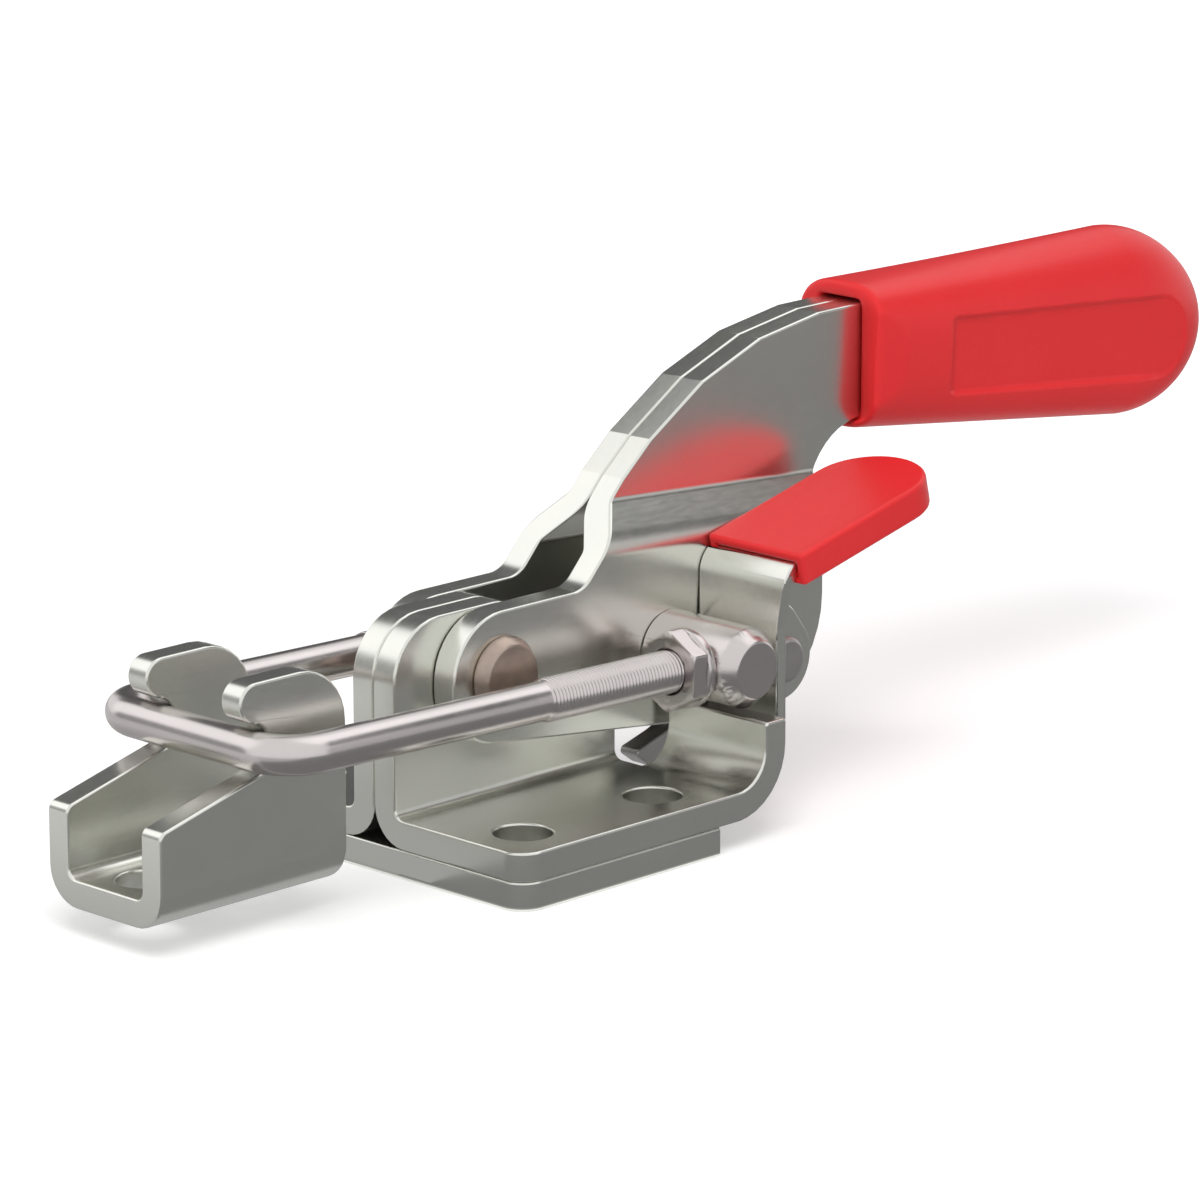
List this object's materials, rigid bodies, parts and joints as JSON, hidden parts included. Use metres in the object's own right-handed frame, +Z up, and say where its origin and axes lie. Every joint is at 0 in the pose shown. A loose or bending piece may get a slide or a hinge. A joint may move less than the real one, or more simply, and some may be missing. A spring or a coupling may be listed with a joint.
{
  "type": "toggle clamp",
  "caption": "Pull-action toggle clamp: an over-centre lever handle draws a U-bolt that hooks a separate catch plate, with a release lever that locks the handle shut.",
  "frame": {"origin": "on the mounting plane, at the middle of the base plate's front edge", "axes": "+X along the clamp from the catch plate towards the grip, +Y across it towards the far side, +Z up from the mounting plane; the release lever is on the -Y side"},
  "size_m": [0.2395, 0.063, 0.0755],
  "materials": {
    "plated_steel": "satin zinc-plated sheet",
    "bright_steel": "bright drawn and turned steel",
    "rivet_steel": "brownish riveted steel",
    "dark_steel": "plain oiled steel",
    "red_plastic": "satin moulded plastic"
  },
  "bodies": {
    "base": {"base_plate": "plated_steel", "base_half_near": "plated_steel", "base_half_far": "plated_steel", "pivot_bush": "dark_steel", "catch_plate": "plated_steel"},
    "handle": {"pivot_pin": "rivet_steel", "handle_plate_near": "plated_steel", "handle_plate_far": "plated_steel", "handle_grip": "red_plastic", "spring_anchor_pin": "dark_steel"},
    "u_bolt": {"trunnion_near": "bright_steel", "trunnion_far": "bright_steel", "u_bolt": "bright_steel", "hex_nut_near": "bright_steel", "hex_nut_far": "bright_steel"},
    "release_lever": {"release_lever": "plated_steel", "lever_cap": "red_plastic", "lock_hook": "dark_steel", "lever_shaft": "dark_steel", "shaft_washer": "plated_steel", "lock_spring": "dark_steel"}
  },
  "joints": [
    {"name": "handle_swing", "type": "hinge", "parent": "base", "child": "handle", "pos_m": [0.018, 0, 0.0285], "axis": [0, -1, 0], "range_deg": [0, 62]},
    {"name": "u_bolt_swing", "type": "hinge", "parent": "handle", "child": "u_bolt", "pos_m": [0.0539, 0, 0.026], "axis": [0, -1, 0], "range_deg": [-38.2, 0]},
    {"name": "lever_release", "type": "hinge", "parent": "handle", "child": "release_lever", "pos_m": [0.0769, 0, 0.0204], "axis": [0, 1, 0], "range_deg": [0, 6], "stiffness_Nm_per_rad": 0.3, "springref_deg": -11.46}
  ],
  "couplings": [
    {"joint": "u_bolt_swing", "follows": "handle_swing", "ratio": -0.615}
  ]
}
